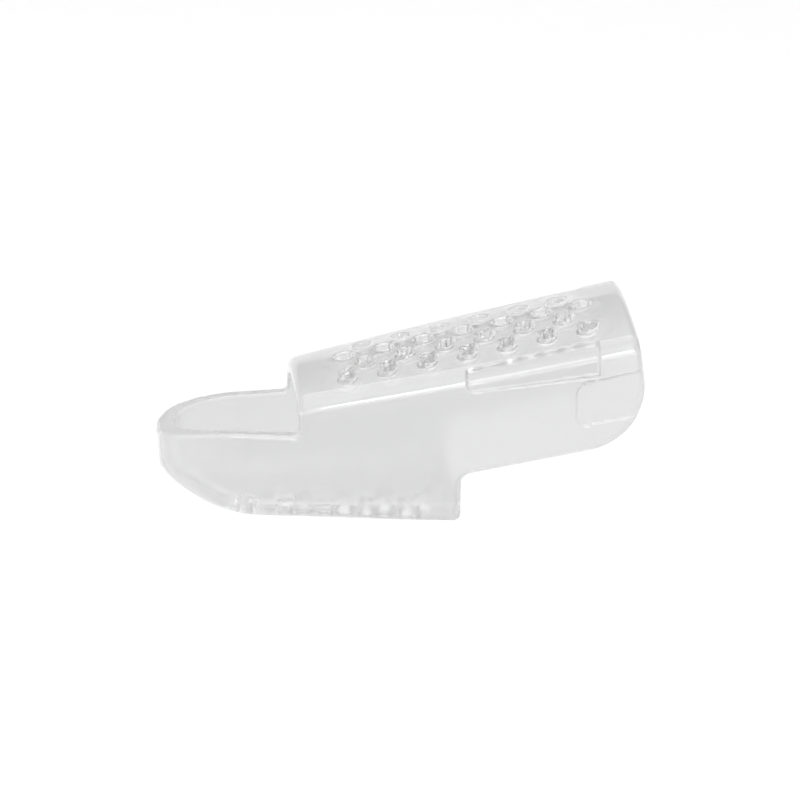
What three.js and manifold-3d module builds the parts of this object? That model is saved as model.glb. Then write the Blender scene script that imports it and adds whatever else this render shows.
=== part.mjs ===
// Finger splint for a drop-tip (mallet) finger: one clear moulded shell, open on top over the nail
// and open below behind the last finger crease. Millimetres. X runs from the closed nose to the open
// end, Z is up, and the flat floor stands on Z = 0.
import * as THREE from "three";
import { mergeVertices } from "three/addons/utils/BufferGeometryUtils.js";
import Module from "manifold-3d";

// Lengths along X, from the tip of the nose
const overallLength = 59.7;
const windowLength = 16.9;
const floorLength = 37.1;

// Widths and heights of the outside
const mouthWidth = 21;
const rimHeight = 11.55;
const roofFrontHeight = 15.6;
const roofSlope = THREE.MathUtils.degToRad(11);
const roofCrown = 1.6;
const hoodEdgeHeight = 6;
const hoodEdgeSlope = THREE.MathUtils.degToRad(11);
const mouthLean = THREE.MathUtils.degToRad(8.5);
const noseLift = 6.4;

// Walls
const wall = 1.6;
const floorThickness = 1.6;
const noseThickness = 2.3;

// Rounding
const shoulderRadius = 2.2;
const rearCornerRadius = 8;
const roofCornerRadius = 1.2;
const heelRadius = 1;
const stepFilletRadius = 1;
const windowFilletRadius = 0.8;
const innerCornerRadius = 0.8;

// Ventilation holes
const roofHoleDiameter = 2.2;
const floorHoleDiameter = 2;
const roofHolePitch = 4.93;
const floorHolePitch = 5;
const roofHoleFrontMargin = 6.6;
const roofHoleRearMargin = 6.3;
const floorHoleStart = 10.7;
const floorHoleRearMargin = 3.7;

// Recessed panel over each shoulder of the hood
const panelGap = 0.4;
const panelLength = 16.4;
const panelDropFront = 2.2;
const panelDropRear = 3.5;
const panelRoofReach = 1.4;
const panelDepthFront = 0.35;
const panelDepthRear = 0.85;
const panelCornerRadius = 1;

// Bare size plate low on each side of the hood
const plateLength = 8.6;
const plateDrop = 9.8;
const plateHeight = 5.9;
const plateDepth = 0.25;
const plateCornerRadius = 1.4;

// Fineness of the facets
const holeSides = 12;
const arcSteps = 6;
const cutMargin = 2;
const crownMargin = 0.05;
const weldDistance = 1e-4;

// On the narrow nose, the most that a lower corner, a shoulder and the crown may be of the half width
const cornerLimit = 0.85;
const shoulderLimit = 0.6;
const crownLimit = 0.3;

// Sections from nose to mouth. station: share of overallLength. width: share of mouthWidth.
// keel: share of noseLift. corner: radius of the lower corner as a share of rimHeight.
const sections = [
  { station: 0.0, width: 0.08, keel: 1.0, corner: 0.08 },
  { station: 0.0035, width: 0.17, keel: 0.88, corner: 0.14 },
  { station: 0.012, width: 0.3, keel: 0.765, corner: 0.2 },
  { station: 0.026, width: 0.41, keel: 0.645, corner: 0.24 },
  { station: 0.045, width: 0.485, keel: 0.515, corner: 0.265 },
  { station: 0.07, width: 0.543, keel: 0.365, corner: 0.27 },
  { station: 0.1, width: 0.59, keel: 0.215, corner: 0.26 },
  { station: 0.135, width: 0.628, keel: 0.095, corner: 0.24 },
  { station: 0.17, width: 0.656, keel: 0.025, corner: 0.22 },
  { station: 0.21, width: 0.686, keel: 0, corner: 0.205 },
  { station: 0.284, width: 0.738, keel: 0, corner: 0.19 },
  { station: 0.41, width: 0.806, keel: 0, corner: 0.13 },
  { station: 0.51, width: 0.857, keel: 0, corner: 0.075 },
  { station: 0.62, width: 0.906, keel: 0, corner: 0.04 },
  { station: 0.8, width: 0.958, keel: 0, corner: 0.04 },
  { station: 1.04, width: 1.018, keel: 0, corner: 0.04 },
];

// Rim of the nail window. along: share of windowLength. height: share of rimHeight.
const rimCurve = [
  { along: 0.8, height: 1.005 },
  { along: 0.56, height: 1.015 },
  { along: 0.34, height: 0.995 },
  { along: 0.16, height: 0.955 },
  { along: 0.04, height: 0.91 },
  { along: -0.12, height: 0.88 },
];

// Rows of holes across the roof and floor. across: share of the half width there. shift: share of a pitch.
const roofRows = [
  { across: -0.45, shift: 0 },
  { across: -0.15, shift: 0.5 },
  { across: 0.15, shift: 0 },
  { across: 0.45, shift: 0.5 },
];
const floorRows = [
  { across: -0.6, shift: 0 },
  { across: -0.34, shift: 0.5 },
  { across: 0.34, shift: 0 },
  { across: 0.6, shift: 0.5 },
];

const wasm = await Module();
wasm.setup();

function toSolid(geometry) {
  const bare = geometry.clone();
  bare.deleteAttribute("normal");
  bare.deleteAttribute("uv");
  const merged = mergeVertices(bare, weldDistance);
  const mesh = new wasm.Mesh({
    numProp: 3,
    vertProperties: merged.attributes.position.array,
    triVerts: new Uint32Array(merged.index.array),
  });
  return new wasm.Manifold(mesh);
}

function toGeometry(solid) {
  const mesh = solid.getMesh();
  const geometry = new THREE.BufferGeometry();
  geometry.setAttribute("position", new THREE.BufferAttribute(mesh.vertProperties, 3));
  geometry.setIndex(new THREE.BufferAttribute(mesh.triVerts, 1));
  geometry.computeVertexNormals();
  return geometry;
}

// Value of one column at a place along X, on a smooth curve through the rows of the table.
function sectionValue(column, x) {
  const share = THREE.MathUtils.clamp(x / overallLength, 0, sections[sections.length - 1].station);
  let i = 0;
  while (i < sections.length - 2 && sections[i + 1].station < share) i += 1;
  const slope = (k) => {
    const before = sections[Math.max(k - 1, 0)];
    const after = sections[Math.min(k + 1, sections.length - 1)];
    return (after[column] - before[column]) / (after.station - before.station);
  };
  const [a, b] = [sections[i], sections[i + 1]];
  const span = b.station - a.station;
  const t = (share - a.station) / span;
  const ease = t * t * (3 - 2 * t);
  const bend = slope(i) * t * (1 - t) ** 2 - slope(i + 1) * t * t * (1 - t);
  return a[column] + (b[column] - a[column]) * ease + bend * span;
}

function halfWidth(x) {
  return (sectionValue("width", x) * mouthWidth) / 2;
}

function keelHeight(x) {
  return Math.max(sectionValue("keel", x), 0) * noseLift;
}

function lowerCorner(x) {
  return sectionValue("corner", x) * rimHeight;
}

function shoulderHeight(x) {
  return roofFrontHeight + (x - windowLength) * Math.tan(roofSlope);
}

function hoodEdge(x) {
  return hoodEdgeHeight + (x - floorLength) * Math.tan(hoodEdgeSlope);
}

function arcPoints(cx, cy, radius, from, to, steps) {
  const points = [];
  for (let i = 0; i <= steps; i += 1) {
    const angle = from + ((to - from) * i) / steps;
    points.push(new THREE.Vector2(cx + radius * Math.cos(angle), cy + radius * Math.sin(angle)));
  }
  return points;
}

// Half of a section, from the middle of the floor round to the middle of the roof: a flat floor, a
// round lower corner, an upright side, a round shoulder and a crowned roof.
function halfSection({ half, floor, shoulder, low, top }) {
  const lowRadius = Math.min(low, half * cornerLimit);
  const topRadius = Math.min(top, half * shoulderLimit);
  const crown = Math.min(roofCrown, half * crownLimit);
  const crownRadius = (half * half + crown * crown) / (2 * crown);
  const crownCentre = shoulder + crown - crownRadius;
  const topY = half - topRadius;
  const topZ = crownCentre + Math.sqrt((crownRadius - topRadius) ** 2 - topY ** 2);
  const tangent = Math.atan2(topZ - crownCentre, topY);
  return [
    new THREE.Vector2(0, floor),
    ...arcPoints(half - lowRadius, floor + lowRadius, lowRadius, -Math.PI / 2, 0, arcSteps),
    new THREE.Vector2(half, (floor + lowRadius + topZ) / 2),
    ...arcPoints(topY, topZ, topRadius, 0, tangent, arcSteps),
    ...arcPoints(0, crownCentre, crownRadius, tangent, Math.PI / 2, arcSteps).slice(1),
  ];
}

// Closed solid through a row of sections along X.
function loft(stations) {
  const rings = stations.map((station) => {
    const right = halfSection(station);
    const left = right.slice(1, -1).reverse();
    return [
      ...right.map((p) => new THREE.Vector3(station.x, p.x, p.y)),
      ...left.map((p) => new THREE.Vector3(station.x, -p.x, p.y)),
    ];
  });
  const count = rings[0].length;
  const positions = rings.flat().flatMap((p) => [p.x, p.y, p.z]);
  const index = [];
  for (let i = 0; i < rings.length - 1; i += 1) {
    for (let j = 0; j < count; j += 1) {
      const a = i * count + j;
      const b = i * count + ((j + 1) % count);
      index.push(a, b, a + count, b, b + count, a + count);
    }
  }
  for (const ring of [0, rings.length - 1]) {
    const centre = new THREE.Vector3();
    rings[ring].forEach((p) => centre.addScaledVector(p, 1 / count));
    const middle = positions.length / 3;
    positions.push(centre.x, centre.y, centre.z);
    for (let j = 0; j < count; j += 1) {
      const a = ring * count + j;
      const b = ring * count + ((j + 1) % count);
      index.push(middle, ring ? a : b, ring ? b : a);
    }
  }
  const geometry = new THREE.BufferGeometry();
  geometry.setAttribute("position", new THREE.Float32BufferAttribute(positions, 3));
  geometry.setIndex(index);
  return toSolid(geometry);
}

// Places along X of the table's rows, and halfway between them.
function stationPlaces() {
  const rows = sections.map((row) => row.station * overallLength);
  return rows.flatMap((x, i) => (i ? [(rows[i - 1] + x) / 2, x] : [x]));
}

// The outside of the splint as if it were closed all round, drawn in by an inset that may vary along X.
function outside(insetAt) {
  return loft(
    stationPlaces().map((x) => {
      const inset = insetAt(x);
      return {
        x,
        half: halfWidth(x) - inset,
        floor: keelHeight(x) + inset,
        shoulder: shoulderHeight(x) - inset,
        low: lowerCorner(x),
        top: shoulderRadius,
      };
    }),
  );
}

// The finger's room: it starts behind the thick nose and runs out past the mouth.
function fingerRoom() {
  return loft(
    stationPlaces().map((outer) => {
      const x = noseThickness + outer * (1 - noseThickness / overallLength);
      return {
        x,
        half: ((halfWidth(x) - wall) * halfWidth(outer)) / halfWidth(x),
        floor: keelHeight(outer) + floorThickness,
        shoulder: shoulderHeight(x) - wall,
        low: Math.max(lowerCorner(outer) - wall, innerCornerRadius),
        top: Math.max(shoulderRadius - wall, innerCornerRadius),
      };
    }),
  );
}

// Points round a closed outline in X and Z whose corners may each carry a radius r.
function roundedOutline(corners) {
  return corners.flatMap((corner, i) => {
    const here = new THREE.Vector2(corner.x, corner.z);
    if (!corner.r) return [here];
    const before = corners[(i + corners.length - 1) % corners.length];
    const after = corners[(i + 1) % corners.length];
    const back = new THREE.Vector2(before.x, before.z).sub(here).normalize();
    const ahead = new THREE.Vector2(after.x, after.z).sub(here).normalize();
    const half = Math.acos(THREE.MathUtils.clamp(back.dot(ahead), -1, 1)) / 2;
    const reach = corner.r / Math.tan(half);
    const middle = back.clone().add(ahead).normalize();
    const centre = here.clone().addScaledVector(middle, corner.r / Math.sin(half));
    const start = here.clone().addScaledVector(back, reach).sub(centre).angle();
    const finish = here.clone().addScaledVector(ahead, reach).sub(centre).angle();
    const turn = finish - start;
    const sweep = turn - 2 * Math.PI * Math.round(turn / (2 * Math.PI));
    return arcPoints(centre.x, centre.y, corner.r, start, start + sweep, arcSteps);
  });
}

// Extrudes an outline drawn in X and Z across the splint, from one Y to another.
function acrossSplint(points, fromY, toY) {
  const geometry = new THREE.ExtrudeGeometry(new THREE.Shape(points), {
    depth: toY - fromY,
    bevelEnabled: false,
  });
  geometry.rotateX(Math.PI / 2);
  geometry.translate(0, toY, 0);
  return toSolid(geometry);
}

// The side view: floor, heel step, lower edge of the hood, leaning mouth, roof, and the window's rim.
function sideOutline() {
  const circleX = overallLength - rearCornerRadius;
  const circleZ = hoodEdge(circleX) + rearCornerRadius / Math.cos(hoodEdgeSlope);
  const edgeNormal = new THREE.Vector2(Math.sin(hoodEdgeSlope), -Math.cos(hoodEdgeSlope));
  const mouthNormal = new THREE.Vector2(Math.cos(mouthLean), Math.sin(mouthLean));
  const reach = rearCornerRadius / (1 + edgeNormal.dot(mouthNormal));
  const rear = new THREE.Vector2(circleX, circleZ);
  rear.addScaledVector(edgeNormal, reach);
  rear.addScaledVector(mouthNormal, reach);
  const crownLine = (x) => shoulderHeight(x) + roofCrown + crownMargin;
  const rise = (crownLine(rear.x) - rear.y) / (1 + Math.tan(mouthLean) * Math.tan(roofSlope));
  const topX = rear.x - rise * Math.tan(mouthLean);
  return roundedOutline([
    { x: -cutMargin, z: 0 },
    { x: floorLength, z: 0, r: heelRadius },
    { x: floorLength, z: hoodEdgeHeight, r: stepFilletRadius },
    { x: rear.x, z: rear.y, r: rearCornerRadius },
    { x: topX, z: crownLine(topX), r: roofCornerRadius },
    { x: windowLength, z: crownLine(windowLength), r: roofCornerRadius },
    { x: windowLength, z: rimHeight, r: windowFilletRadius },
    ...rimCurve.map((row) => ({ x: row.along * windowLength, z: row.height * rimHeight })),
  ]);
}

// A shallow field sunk into both sides: what an outline holds outside the drawn-in skin.
function sunkField(outline, insideY, insetAt) {
  const reach = mouthWidth;
  const right = acrossSplint(outline, insideY, reach);
  const left = acrossSplint(outline, -reach, -insideY);
  return right.add(left).subtract(outside(insetAt));
}

// The panel over each shoulder of the hood, deeper towards the mouth.
function shoulderPanels() {
  const front = floorLength + panelGap;
  const rear = front + panelLength;
  const top = shoulderHeight(rear) + roofCrown + cutMargin;
  const outline = roundedOutline([
    { x: front, z: shoulderHeight(front) - panelDropFront, r: panelCornerRadius },
    { x: rear, z: shoulderHeight(rear) - panelDropRear },
    { x: rear, z: top },
    { x: front, z: top },
  ]);
  const depthAt = (x) => THREE.MathUtils.mapLinear(x, front, rear, panelDepthFront, panelDepthRear);
  return sunkField(outline, halfWidth(front) - panelRoofReach, depthAt);
}

// The bare size plate, which runs out at the mouth.
function sizePlates() {
  const front = overallLength - plateLength;
  const rear = overallLength + cutMargin;
  const outline = roundedOutline([
    { x: front, z: shoulderHeight(front) - plateDrop, r: plateCornerRadius },
    { x: rear, z: shoulderHeight(rear) - plateDrop },
    { x: rear, z: shoulderHeight(rear) - plateDrop + plateHeight },
    { x: front, z: shoulderHeight(front) - plateDrop + plateHeight, r: plateCornerRadius },
  ]);
  return sunkField(outline, 0, () => plateDepth);
}

// Upright pins in staggered rows, between two heights that may vary along X.
function pins(rows, diameter, pitch, fromX, toX, lowAt, highAt) {
  const made = [];
  for (const { across, shift } of rows) {
    for (let x = fromX + shift * pitch; x <= toX; x += pitch) {
      const [low, high] = [lowAt(x), highAt(x)];
      const pin = new THREE.CylinderGeometry(diameter / 2, diameter / 2, high - low, holeSides);
      pin.rotateX(Math.PI / 2);
      pin.translate(x, across * halfWidth(x), (low + high) / 2);
      made.push(toSolid(pin));
    }
  }
  return made;
}

function roofPins() {
  const lowAt = (x) => shoulderHeight(x) - wall - cutMargin;
  const highAt = (x) => shoulderHeight(x) + roofCrown + cutMargin;
  const from = windowLength + roofHoleFrontMargin;
  const to = overallLength - roofHoleRearMargin;
  return pins(roofRows, roofHoleDiameter, roofHolePitch, from, to, lowAt, highAt);
}

function floorPins() {
  const highAt = () => floorThickness + cutMargin;
  const to = floorLength - floorHoleRearMargin;
  return pins(floorRows, floorHoleDiameter, floorHolePitch, floorHoleStart, to, () => -cutMargin, highAt);
}

function makeShell() {
  const side = acrossSplint(sideOutline(), -mouthWidth, mouthWidth);
  let shell = outside(() => 0).intersect(side).subtract(fingerRoom());
  shell = shell.subtract(shoulderPanels()).subtract(sizePlates());
  for (const pin of [...roofPins(), ...floorPins()]) shell = shell.subtract(pin);
  return shell;
}

const clearPlastic = new THREE.MeshStandardMaterial({
  color: 0xe9edee,
  roughness: 0.08,
  metalness: 0,
  transparent: true,
  opacity: 0.35,
});

const shellMesh = new THREE.Mesh(toGeometry(makeShell()), clearPlastic);
shellMesh.name = "splint_shell";
shellMesh.position.x = -overallLength / 2;

const splint = new THREE.Group();
splint.name = "finger_splint";
splint.add(shellMesh);

export default splint;
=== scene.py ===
# Clear moulded finger splint, standing on its flat floor on a pale table.
# The scene is in metres. The splint's own sizes are millimetres, X from the nose tip to the open mouth.
import math
import bpy
import numpy as np
import openvdb
from mathutils import Matrix, Vector


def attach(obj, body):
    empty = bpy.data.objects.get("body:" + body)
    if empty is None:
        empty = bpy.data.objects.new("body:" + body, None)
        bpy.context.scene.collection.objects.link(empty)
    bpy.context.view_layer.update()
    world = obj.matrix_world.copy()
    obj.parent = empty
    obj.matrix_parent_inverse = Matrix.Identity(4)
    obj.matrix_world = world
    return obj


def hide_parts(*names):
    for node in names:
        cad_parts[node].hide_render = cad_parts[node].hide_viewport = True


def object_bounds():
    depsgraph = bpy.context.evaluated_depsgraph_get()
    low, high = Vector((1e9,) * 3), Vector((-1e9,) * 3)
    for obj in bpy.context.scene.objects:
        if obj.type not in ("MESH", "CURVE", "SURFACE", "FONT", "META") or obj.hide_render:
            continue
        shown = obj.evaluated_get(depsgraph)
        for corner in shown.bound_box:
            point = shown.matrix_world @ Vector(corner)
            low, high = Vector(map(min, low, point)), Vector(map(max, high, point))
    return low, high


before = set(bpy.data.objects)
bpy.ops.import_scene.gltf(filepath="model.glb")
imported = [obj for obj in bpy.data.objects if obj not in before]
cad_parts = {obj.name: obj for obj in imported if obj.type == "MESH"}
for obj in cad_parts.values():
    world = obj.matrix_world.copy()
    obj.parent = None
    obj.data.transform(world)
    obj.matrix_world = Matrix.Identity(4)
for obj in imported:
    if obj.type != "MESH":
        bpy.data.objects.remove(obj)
cadLow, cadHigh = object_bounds()
mm = 0.001


# camera

camera = {
    "target": (0.000544, 0.0, 0.012575),
    "distance": 0.721,
    "yaw": 7.117,            # degrees, turned from looking along +Y towards +X
    "elevation": 24.0,
    "roll": 0.771,           # the camera's right side is lifted
    "pixelsPerMm": 8.026,    # at the target
    "framePixels": 800,
    "sensor": 36.0,
    "clip": (0.01, 20.0),
}


def makeCamera(c):
    yaw, elevation, roll = (math.radians(c[key]) for key in ("yaw", "elevation", "roll"))
    forward = Vector((
        math.sin(yaw) * math.cos(elevation),
        math.cos(yaw) * math.cos(elevation),
        -math.sin(elevation),
    ))
    right = Vector((math.cos(yaw), -math.sin(yaw), 0))
    up = right.cross(forward)
    cameraRight = math.cos(roll) * right + math.sin(roll) * up
    cameraUp = math.cos(roll) * up - math.sin(roll) * right
    turn = Matrix((cameraRight, cameraUp, -forward)).transposed().to_4x4()
    place = Vector(c["target"]) - c["distance"] * forward
    data = bpy.data.cameras.new("photoCamera")
    data.sensor_width = c["sensor"]
    data.lens = c["pixelsPerMm"] / mm * c["distance"] / c["framePixels"] * c["sensor"]
    data.clip_start, data.clip_end = c["clip"]
    obj = bpy.data.objects.new("photoCamera", data)
    obj.matrix_world = Matrix.Translation(place) @ turn
    bpy.context.scene.collection.objects.link(obj)
    bpy.context.scene.camera = obj


makeCamera(camera)
print("camera: done")


# studio: pale table, a white room, soft boxes and grey cards out of the picture

studio = {
    "floorSize": 6.0,
    "floorDrop": 0.00015,    # the splint's moulded floor never lies quite flat
    "floorGrey": 0.9,
    "sheetRoughness": 0.9,
    "sheetShine": 0.1,
    "roomGrey": 0.9,
    "roomStrength": 1.0,
}
softBoxes = [
    {"name": "overheadBox", "place": (0.0, -0.1, 1.3), "aim": (0, 0, 0), "size": (2.4, 2.2), "watts": 13.4},
    {"name": "frontStrip", "place": (0.0, -1.04, 0.6), "aim": (0, 0, 0), "size": (0.6, 0.1), "watts": 3.0},
]
# the cards give the roof, the mouth and some of the holes their darker tones
greyCards = [
    {"name": "rearCard", "place": (0.0, 0.7, 0.65), "aim": (0, 0, 0), "size": (1.8, 0.9), "grey": 0.55},
    {"name": "frontCard", "place": (0.5, -0.75, 0.75), "aim": (0, 0, 0), "size": (0.75, 0.4), "grey": 0.01},
    {"name": "rightCard", "place": (0.85, 0.1, 0.3), "aim": (0, 0, 0), "size": (0.4, 0.4), "grey": 0.02},
]


def greyColour(grey):
    return (grey, grey, grey, 1)


def greyMaterial(name, grey):
    material = bpy.data.materials.new(name)
    material.use_nodes = True
    shader = material.node_tree.nodes["Principled BSDF"]
    shader.inputs["Base Color"].default_value = greyColour(grey)
    shader.inputs["Roughness"].default_value = studio["sheetRoughness"]
    shader.inputs["Specular IOR Level"].default_value = studio["sheetShine"]
    return material


def makeSheet(name, width, depth, grey):
    mesh = bpy.data.meshes.new(name)
    x, y = width / 2, depth / 2
    mesh.from_pydata([(-x, -y, 0), (x, -y, 0), (x, y, 0), (-x, y, 0)], [], [(0, 1, 2, 3)])
    mesh.materials.append(greyMaterial(name, grey))
    sheet = bpy.data.objects.new(name, mesh)
    bpy.context.scene.collection.objects.link(sheet)
    return sheet


def makeFloor(s):
    floor = makeSheet("paleTable", s["floorSize"], s["floorSize"], s["floorGrey"])
    floor.location.z = cadLow.z - s["floorDrop"]


def turnTo(obj, place, aim):
    obj.location = place
    obj.rotation_euler = (Vector(aim) - Vector(place)).to_track_quat("-Z", "Y").to_euler()


def makeCard(card):
    sheet = makeSheet(card["name"], *card["size"], card["grey"])
    turnTo(sheet, card["place"], card["aim"])


def makeSoftBox(box):
    data = bpy.data.lights.new(box["name"], "AREA")
    data.shape = "RECTANGLE"
    data.size, data.size_y = box["size"]
    data.energy = box["watts"]
    obj = bpy.data.objects.new(box["name"], data)
    turnTo(obj, box["place"], box["aim"])
    bpy.context.scene.collection.objects.link(obj)


def makeRoom(s):
    world = bpy.data.worlds.new("whiteRoom")
    world.use_nodes = True
    background = world.node_tree.nodes["Background"]
    background.inputs["Color"].default_value = greyColour(s["roomGrey"])
    background.inputs["Strength"].default_value = s["roomStrength"]
    bpy.context.scene.world = world


makeFloor(studio)
makeRoom(studio)
for box in softBoxes:
    makeSoftBox(box)
for card in greyCards:
    makeCard(card)
bpy.context.scene.view_settings.view_transform = "Standard"
print("studio: done,", len(softBoxes), "soft boxes,", len(greyCards), "cards")


# splint: one clear moulded shell

splint = {
    "node": "splint_shell",
    "slot": "clear_plastic",
    # lengths along X
    "length": 59.7,
    "windowLength": 16.9,
    "floorLength": 37.1,
    # outside
    "mouthWidth": 21.0,
    "rimHeight": 11.55,
    "roofFrontHeight": 15.6,
    "roofSlope": 11.0,       # degrees
    "roofCrown": 1.6,
    "hoodEdgeHeight": 6.0,
    "hoodEdgeSlope": 11.0,   # degrees
    "mouthLean": 8.5,        # degrees
    "noseLift": 6.4,
    # walls
    "wall": 1.6,
    "floorThickness": 1.6,
    "noseThickness": 2.3,
    # rounding
    "shoulderRadius": 2.2,
    "rearCornerRadius": 8.0,
    "stepFilletRadius": 1.0,
    "windowFilletRadius": 0.8,
    "innerCornerRadius": 0.8,
    "outerRimRadius": 1.05,
    "windowRimRadius": 0.6,
    "innerRimRadius": 0.4,
    "holeRimRadius": 0.3,
    # the nose is milky, and clears over milkFade up to milkEnd
    "milkEnd": 10.5,
    "milkFade": 7.0,
    # on the narrow nose, shares of the half width
    "cornerLimit": 0.85,
    "shoulderLimit": 0.6,
    "crownLimit": 0.3,
    # station: share of length. width: share of mouthWidth
    # keel: share of noseLift. corner: share of rimHeight
    "sections": [
        {"station": 0.0, "width": 0.08, "keel": 1.0, "corner": 0.08},
        {"station": 0.0035, "width": 0.17, "keel": 0.88, "corner": 0.14},
        {"station": 0.012, "width": 0.3, "keel": 0.765, "corner": 0.2},
        {"station": 0.026, "width": 0.41, "keel": 0.645, "corner": 0.24},
        {"station": 0.045, "width": 0.485, "keel": 0.515, "corner": 0.265},
        {"station": 0.07, "width": 0.543, "keel": 0.365, "corner": 0.27},
        {"station": 0.1, "width": 0.59, "keel": 0.215, "corner": 0.26},
        {"station": 0.135, "width": 0.628, "keel": 0.095, "corner": 0.24},
        {"station": 0.17, "width": 0.656, "keel": 0.025, "corner": 0.22},
        {"station": 0.21, "width": 0.686, "keel": 0, "corner": 0.205},
        {"station": 0.284, "width": 0.738, "keel": 0, "corner": 0.19},
        {"station": 0.41, "width": 0.806, "keel": 0, "corner": 0.13},
        {"station": 0.51, "width": 0.857, "keel": 0, "corner": 0.075},
        {"station": 0.62, "width": 0.906, "keel": 0, "corner": 0.04},
        {"station": 0.8, "width": 0.958, "keel": 0, "corner": 0.04},
        {"station": 1.04, "width": 1.018, "keel": 0, "corner": 0.04},
    ],
    # rim of the nail window. along: share of windowLength. height: share of rimHeight
    "rimCurve": [
        {"along": -0.12, "height": 0.88},
        {"along": 0.04, "height": 0.91},
        {"along": 0.16, "height": 0.955},
        {"along": 0.34, "height": 0.995},
        {"along": 0.56, "height": 1.015},
        {"along": 0.8, "height": 1.005},
        {"along": 1.0, "height": 1.0},
    ],
}

holes = {
    "roofDiameter": 2.2,
    "floorDiameter": 2.0,
    "roofPitch": 4.93,
    "floorPitch": 5.0,
    "roofFrontMargin": 6.6,
    "roofRearMargin": 6.3,
    "floorStart": 10.7,
    "floorRearMargin": 3.7,
    "reach": 2.0,            # of the cutting pins past the wall
    "polishReach": 2.2,      # of the polished plastic round a hole
    "slack": 1e-6,           # keeps the last hole of a row
    # across: share of the half width. shift: share of a pitch
    "roofRows": [(-0.45, 0), (-0.15, 0.5), (0.15, 0), (0.45, 0.5)],
    "floorRows": [(-0.6, 0), (-0.34, 0.5), (0.34, 0), (0.6, 0.5)],
}

panels = {
    "gap": 0.4,
    "length": 16.4,
    "dropFront": 2.2,
    "dropRear": 3.5,
    "roofReach": 1.4,
    "depthFront": 0.35,
    "depthRear": 0.85,
    "cornerRadius": 1.0,
    "edgeRadius": 0.2,
    "mattReach": 0.1,
    "gloss": 0.1,            # share of the skin's gloss
}

plates = {
    "length": 8.6,
    "drop": 9.8,
    "height": 5.9,
    "depth": 0.25,
    "cornerRadius": 1.4,
    "edgeRadius": 0.15,
}

meshing = {
    "cell": 0.3,
    "margin": 1.0,
    "settleSteps": 4,
    "probe": 0.02,           # step for slopes, mm
    "deepest": 1.0,          # distances are kept to this, mm
    "leastSlope": 0.25,      # squared, so that no point settles too far
}


def sectionValue(name, x):
    # smooth curve through one column of the section table
    rows = splint["sections"]
    places = np.array([row["station"] for row in rows])
    values = np.array([row[name] for row in rows], float)
    slopes = np.empty_like(values)
    slopes[1:-1] = (values[2:] - values[:-2]) / (places[2:] - places[:-2])
    slopes[0] = (values[1] - values[0]) / (places[1] - places[0])
    slopes[-1] = (values[-1] - values[-2]) / (places[-1] - places[-2])
    share = np.clip(x / splint["length"], 0, places[-1])
    i = np.clip(np.searchsorted(places, share) - 1, 0, len(rows) - 2)
    span = places[i + 1] - places[i]
    t = (share - places[i]) / span
    ease = t * t * (3 - 2 * t)
    bend = slopes[i] * t * (1 - t) ** 2 - slopes[i + 1] * t * t * (1 - t)
    return values[i] + (values[i + 1] - values[i]) * ease + bend * span


def halfWidth(x):
    return sectionValue("width", x) * splint["mouthWidth"] / 2


def keelHeight(x):
    return np.maximum(sectionValue("keel", x), 0) * splint["noseLift"]


def lowerCorner(x):
    return sectionValue("corner", x) * splint["rimHeight"]


def shoulderHeight(x):
    rise = math.tan(math.radians(splint["roofSlope"]))
    return splint["roofFrontHeight"] + (x - splint["windowLength"]) * rise


def roundMeet(a, b, radius):
    # what lies inside both, its edge rounded
    corner = np.hypot(np.maximum(a + radius, 0), np.maximum(b + radius, 0))
    return np.minimum(np.maximum(a, b), -radius) + corner


def roundJoin(a, b, radius):
    # what lies inside either, the inner corner filled round
    return -roundMeet(-a, -b, radius)


def sectionDepth(y, z, half, floor, shoulder, low, top):
    # distance to one section: flat floor, round lower corners, upright sides, round shoulders, crowned roof
    low = np.minimum(low, half * splint["cornerLimit"])
    top = np.minimum(top, half * splint["shoulderLimit"])
    crown = np.minimum(splint["roofCrown"], half * splint["crownLimit"])
    radius = (half * half + crown * crown) / (2 * crown)
    side = np.abs(y) - half
    roof = np.hypot(y, z - (shoulder + crown - radius)) - radius
    return np.maximum(roundMeet(side, floor - z, low), roundMeet(side, roof, top))


def outsideSection(x, y, z):
    depth = sectionDepth(
        y, z, halfWidth(x), keelHeight(x), shoulderHeight(x), lowerCorner(x), splint["shoulderRadius"]
    )
    return np.maximum(depth, -x)


def roomSection(x, y, z):
    # the finger's room starts behind the thick nose
    s = splint
    outer = (x - s["noseThickness"]) / (1 - s["noseThickness"] / s["length"])
    half = (halfWidth(x) - s["wall"]) * halfWidth(outer) / halfWidth(x)
    low = np.maximum(lowerCorner(outer) - s["wall"], s["innerCornerRadius"])
    top = max(s["shoulderRadius"] - s["wall"], s["innerCornerRadius"])
    floor = keelHeight(outer) + s["floorThickness"]
    shoulder = shoulderHeight(x) - s["wall"]
    depth = sectionDepth(y, z, half, floor, shoulder, low, top)
    return np.where(outer < 0, np.maximum(depth, -outer), depth)


def evenDepth(section, x, y, z):
    # a section's distance grows too fast where the nose closes, so it is divided by its slope along X
    step = meshing["probe"]
    slope = (section(x + step, y, z) - section(x - step, y, z)) / (2 * step)
    return section(x, y, z) / np.sqrt(1 + slope * slope)


def rimLine(x):
    s = splint
    places = np.array([row["along"] for row in s["rimCurve"]]) * s["windowLength"]
    heights = np.array([row["height"] for row in s["rimCurve"]]) * s["rimHeight"]
    return np.interp(x, places, heights)


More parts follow.
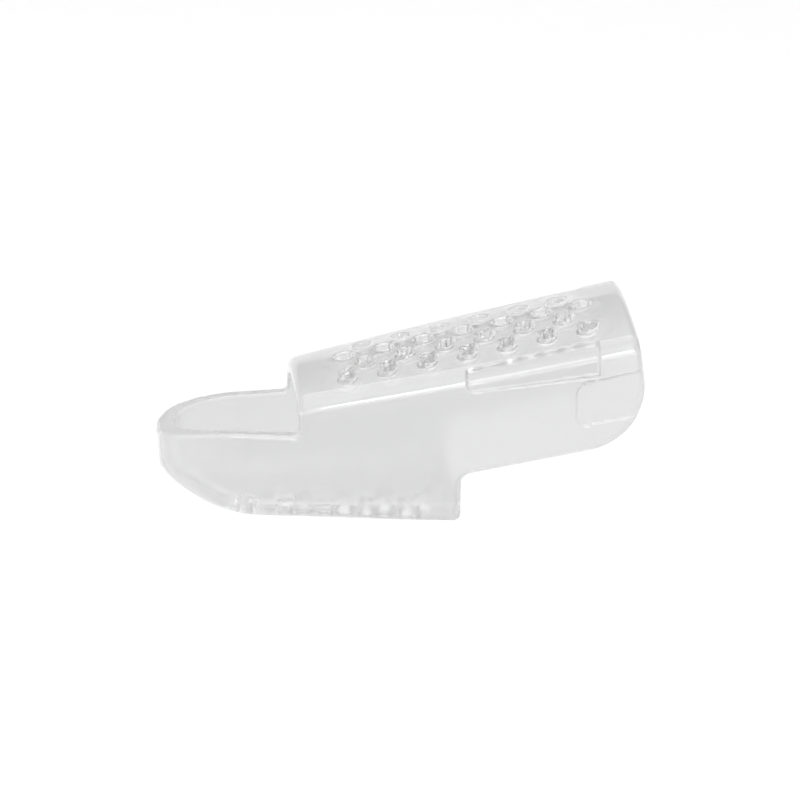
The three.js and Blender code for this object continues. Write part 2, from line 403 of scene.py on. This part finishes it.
def sideDepth(x, z):
    # the side view: floor, heel step, lower edge of the hood, leaning mouth and nail window
    s = splint
    slope, lean = math.radians(s["hoodEdgeSlope"]), math.radians(s["mouthLean"])
    floorPart = x - s["floorLength"]
    hoodEdge = s["hoodEdgeHeight"] + (x - s["floorLength"]) * math.tan(slope)
    hoodPart = (hoodEdge - z) * math.cos(slope)
    below = roundJoin(floorPart, hoodPart, s["stepFilletRadius"])
    circleX = s["length"] - s["rearCornerRadius"]
    circleZ = s["hoodEdgeHeight"] + (circleX - s["floorLength"]) * math.tan(slope)
    circleZ += s["rearCornerRadius"] / math.cos(slope)
    mouth = (x - circleX) * math.cos(lean) + (z - circleZ) * math.sin(lean) - s["rearCornerRadius"]
    hood = roundMeet(below, mouth, s["rearCornerRadius"])
    window = roundJoin(s["windowLength"] - x, z - rimLine(x), s["windowFilletRadius"])
    return np.maximum(hood, window)


def sunkDepth(x, y, z, outline, insideY, depth, edgeRadius, skin):
    # a shallow field: inside the outline seen from the side, and outside the drawn-in skin
    region = roundMeet(outline, insideY - np.abs(y), edgeRadius)
    return roundMeet(region, -(skin + depth), edgeRadius)


def panelDepth(x, y, z, skin):
    p = panels
    front = splint["floorLength"] + p["gap"]
    rear = front + p["length"]
    t = np.clip((x - front) / (rear - front), 0, 1)
    lowFront = shoulderHeight(front) - p["dropFront"]
    lowRear = shoulderHeight(rear) - p["dropRear"]
    slope = math.atan2(lowRear - lowFront, rear - front)
    lower = (lowFront + (x - front) * math.tan(slope) - z) * math.cos(slope)
    outline = np.maximum(roundMeet(front - x, lower, p["cornerRadius"]), x - rear)
    depth = p["depthFront"] + (p["depthRear"] - p["depthFront"]) * t
    return sunkDepth(x, y, z, outline, halfWidth(front) - p["roofReach"], depth, p["edgeRadius"], skin)


def plateDepth(x, y, z, skin):
    p = plates
    front = splint["length"] - p["length"]
    tilt = math.cos(math.radians(splint["roofSlope"]))
    lower = (shoulderHeight(x) - p["drop"] - z) * tilt
    upper = (z - shoulderHeight(x) + p["drop"] - p["height"]) * tilt
    low = roundMeet(front - x, lower, p["cornerRadius"])
    high = roundMeet(front - x, upper, p["cornerRadius"])
    return sunkDepth(x, y, z, np.maximum(low, high), 0, p["depth"], p["edgeRadius"], skin)


def holePlaces(rows, pitch, start, end):
    places = []
    for across, shift in rows:
        for x in np.arange(start + shift * pitch, end + holes["slack"], pitch):
            places.append((x, across * float(halfWidth(x))))
    return places


def nearestPin(x, y, places, diameter):
    nearest = np.full(np.broadcast(x, y).shape, np.inf)
    for px, py in places:
        nearest = np.minimum(nearest, np.hypot(x - px, y - py) - diameter / 2)
    return nearest


def holeDepth(x, y, z, reach):
    # reach is how far the pins pass the wall that they cut
    s, h = splint, holes
    roofStart = s["windowLength"] + h["roofFrontMargin"]
    roof = holePlaces(h["roofRows"], h["roofPitch"], roofStart, s["length"] - h["roofRearMargin"])
    floorEnd = s["floorLength"] - h["floorRearMargin"]
    floor = holePlaces(h["floorRows"], h["floorPitch"], h["floorStart"], floorEnd)
    underRoof = shoulderHeight(x) - s["wall"] - reach - z
    overFloor = z - s["floorThickness"] - reach
    roofPins = np.maximum(nearestPin(x, y, roof, h["roofDiameter"]), underRoof)
    floorPins = np.maximum(nearestPin(x, y, floor, h["floorDiameter"]), overFloor)
    return np.minimum(roofPins, floorPins)


def splintDepth(x, y, z):
    # distance to the plastic's surface in millimetres, below zero inside the wall
    skin = evenDepth(outsideSection, x, y, z)
    room = evenDepth(roomSection, x, y, z)
    body = roundMeet(skin, -panelDepth(x, y, z, skin), panels["edgeRadius"])
    body = roundMeet(body, -plateDepth(x, y, z, skin), plates["edgeRadius"])
    t = np.clip((x - splint["windowLength"]) / splint["outerRimRadius"] + 1, 0, 1)
    rim = splint["windowRimRadius"] + (splint["outerRimRadius"] - splint["windowRimRadius"]) * t
    body = roundMeet(body, sideDepth(x, z), rim)
    shell = roundMeet(body, -room, splint["innerRimRadius"])
    return roundMeet(shell, -holeDepth(x, y, z, holes["reach"]), splint["holeRimRadius"])


def slopes(points):
    step = meshing["probe"]
    x, y, z = points.T
    return np.stack([
        splintDepth(x + step, y, z) - splintDepth(x - step, y, z),
        splintDepth(x, y + step, z) - splintDepth(x, y - step, z),
        splintDepth(x, y, z + step) - splintDepth(x, y, z - step),
    ], axis=1) / (2 * step)


def markPoints(mesh, name, values):
    mesh.attributes.new(name, "FLOAT", "POINT").data.foreach_set("value", values.astype(np.float32))


def markLooks(mesh, points):
    # the hole walls are more polished than the rest
    fromHole = np.abs(holeDepth(*points.T, 0))
    markPoints(mesh, "polish", 1 - np.clip(fromHole / holes["polishReach"], 0, 1))
    # the sunk panels are a little matt
    skin = evenDepth(outsideSection, *points.T)
    inPanel = np.abs(panelDepth(*points.T, skin)) < panels["mattReach"]
    markPoints(mesh, "gloss", np.where(inPanel, panels["gloss"], 1.0))
    # the thick nose is milkier
    milk = (splint["milkEnd"] - points[:, 0]) / splint["milkFade"]
    markPoints(mesh, "milk", np.clip(milk, 0, 1))


def makeSplint():
    m = meshing
    cell = m["cell"]
    low = np.array([0, -splint["mouthWidth"] / 2, 0]) - m["margin"]
    size = (cadHigh - cadLow) / mm
    counts = np.ceil((np.array(size) + 2 * m["margin"]) / cell).astype(int) + 1
    x, y, z = (low[a] + cell * np.arange(counts[a]) for a in range(3))
    x, y, z = np.meshgrid(x, y, z, indexing="ij")
    depth = np.clip(splintDepth(x.ravel(), y.ravel(), z.ravel()), -m["deepest"], m["deepest"])
    grid = openvdb.FloatGrid(m["deepest"])
    grid.copyFromArray(depth.reshape(x.shape).astype(np.float32))
    points, quads = grid.convertToQuads(0.0)
    points = low + cell * np.array(points, float)
    for _ in range(m["settleSteps"]):
        slope = slopes(points)
        slopeSquared = np.maximum((slope * slope).sum(1), m["leastSlope"])
        away = splintDepth(*points.T) / slopeSquared
        points -= np.clip(away, -cell / 2, cell / 2)[:, None] * slope
    normals = slopes(points)
    normals /= np.linalg.norm(normals, axis=1)[:, None]
    places = points * mm + np.array([cadLow.x, (cadLow.y + cadHigh.y) / 2, cadLow.z])
    mesh = bpy.data.meshes.new("clear_splint")
    mesh.from_pydata(places.tolist(), [], np.array(quads).tolist())
    mesh.validate()
    mesh.shade_smooth()
    mesh.normals_split_custom_set_from_vertices(normals.tolist())
    markLooks(mesh, points)
    piece = bpy.data.objects.new("clear_splint", mesh)
    bpy.context.scene.collection.objects.link(piece)
    print("splint:", len(mesh.vertices), "vertices,", len(mesh.polygons), "faces")
    return piece


# clear plastic: colourless, glossy, with the faint ripple of a moulding

clearPlastic = {
    "tint": (0.71, 0.712, 0.711, 1),
    "holeTint": (0.95, 0.95, 0.95, 1),
    "clear": 0.685,          # the rest is haze
    "noseClear": 0.55,
    "holeClear": 1.0,
    "ior": 1.5,
    "skinRoughness": 0.04,
    "roughness": (0.19, 0.26),
    "holeRoughness": 0.01,
    "hazeScale": 180.0,
    "hazeDetail": 3,
    "hazeRange": (0.35, 0.65),
    "rippleScale": 220.0,
    "rippleDetail": 2,
    "rippleHeight": 0.00002,
}


def makeClearPlastic(c):
    material = bpy.data.materials.new("clearPlastic")
    material.use_nodes = True
    nodes, links = material.node_tree.nodes, material.node_tree.links
    shader = nodes["Principled BSDF"]

    def pointValue(name):
        node = nodes.new("ShaderNodeAttribute")
        node.attribute_name = name
        return node.outputs["Fac"]

    def noise(scale, detail):
        node = nodes.new("ShaderNodeTexNoise")
        node.inputs["Scale"].default_value = scale
        node.inputs["Detail"].default_value = detail
        links.new(where.outputs["Object"], node.inputs["Vector"])
        return node.outputs["Fac"]

    def blend(share, end):
        # from input A at no share to the end value at full share
        node = nodes.new("ShaderNodeMix")
        node.inputs["B"].default_value = end
        links.new(share, node.inputs["Factor"])
        return node

    where = nodes.new("ShaderNodeTexCoord")
    polish, milk, gloss = pointValue("polish"), pointValue("milk"), pointValue("gloss")

    # glossy skin
    shader.inputs["IOR"].default_value = c["ior"]
    shader.inputs["Coat IOR"].default_value = c["ior"]
    shader.inputs["Coat Roughness"].default_value = c["skinRoughness"]
    links.new(gloss, shader.inputs["Coat Weight"])

    # colour, paler at the holes
    colour = nodes.new("ShaderNodeMixRGB")
    colour.inputs["Color1"].default_value = c["tint"]
    colour.inputs["Color2"].default_value = c["holeTint"]
    links.new(polish, colour.inputs["Fac"])
    links.new(colour.outputs["Color"], shader.inputs["Base Color"])

    # uneven haze, polished away at the holes
    spread = nodes.new("ShaderNodeMapRange")
    spread.inputs["From Min"].default_value, spread.inputs["From Max"].default_value = c["hazeRange"]
    spread.inputs["To Min"].default_value, spread.inputs["To Max"].default_value = c["roughness"]
    links.new(noise(c["hazeScale"], c["hazeDetail"]), spread.inputs["Value"])
    nearHoles = blend(polish, c["holeRoughness"])
    links.new(spread.outputs["Result"], nearHoles.inputs["A"])
    links.new(nearHoles.outputs["Result"], shader.inputs["Roughness"])

    # milky at the nose, clear at the holes
    milkier = blend(milk, c["noseClear"])
    milkier.inputs["A"].default_value = c["clear"]
    clearer = blend(polish, c["holeClear"])
    links.new(milkier.outputs["Result"], clearer.inputs["A"])
    links.new(clearer.outputs["Result"], shader.inputs["Transmission Weight"])

    # ripple of the moulding
    bump = nodes.new("ShaderNodeBump")
    bump.inputs["Distance"].default_value = c["rippleHeight"]
    links.new(noise(c["rippleScale"], c["rippleDetail"]), bump.inputs["Height"])
    links.new(bump.outputs["Normal"], shader.inputs["Normal"])
    return material


clearSplint = makeSplint()
clearSplint.data.materials.append(makeClearPlastic(clearPlastic))
# the table is lit as if the clear piece cast no shadow on it
clearSplint.visible_shadow = False
clearSplint.visible_diffuse = False
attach(clearSplint, "root")
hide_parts(splint["node"])

print("size: CAD", [round(v / mm, 2) for v in cadHigh - cadLow])
